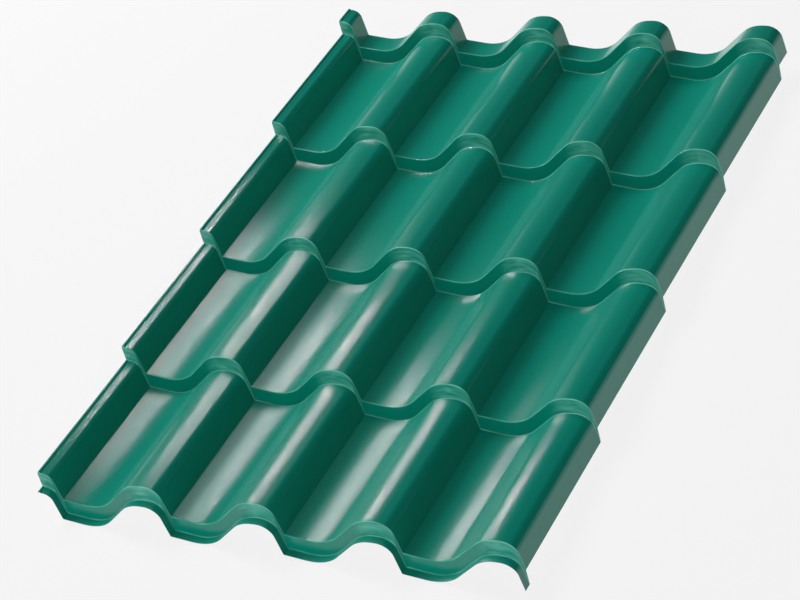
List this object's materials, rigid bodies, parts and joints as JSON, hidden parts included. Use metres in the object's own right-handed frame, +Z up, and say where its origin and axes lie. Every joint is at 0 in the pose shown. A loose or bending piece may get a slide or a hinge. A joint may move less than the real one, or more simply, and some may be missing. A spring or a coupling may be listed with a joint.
{
  "type": "metal roof tile sheet",
  "caption": "Coated steel roof tile sheet pressed into deep asymmetric waves across and stepped tile rows up the slope, with side laps to join its neighbours.",
  "frame": {"origin": "centre of the sheet's box, on the level that its lowest folds rest on", "axes": "+Y up the roof slope along the waves, +X across the waves towards the overlapping free edge, +Z up out of the roof"},
  "size_m": [1.049, 1.471, 0.1202],
  "materials": {
    "coated_steel": "glossy moss green polyester coat"
  },
  "bodies": {
    "root": {"tile_sheet": "coated_steel"}
  },
  "joints": []
}
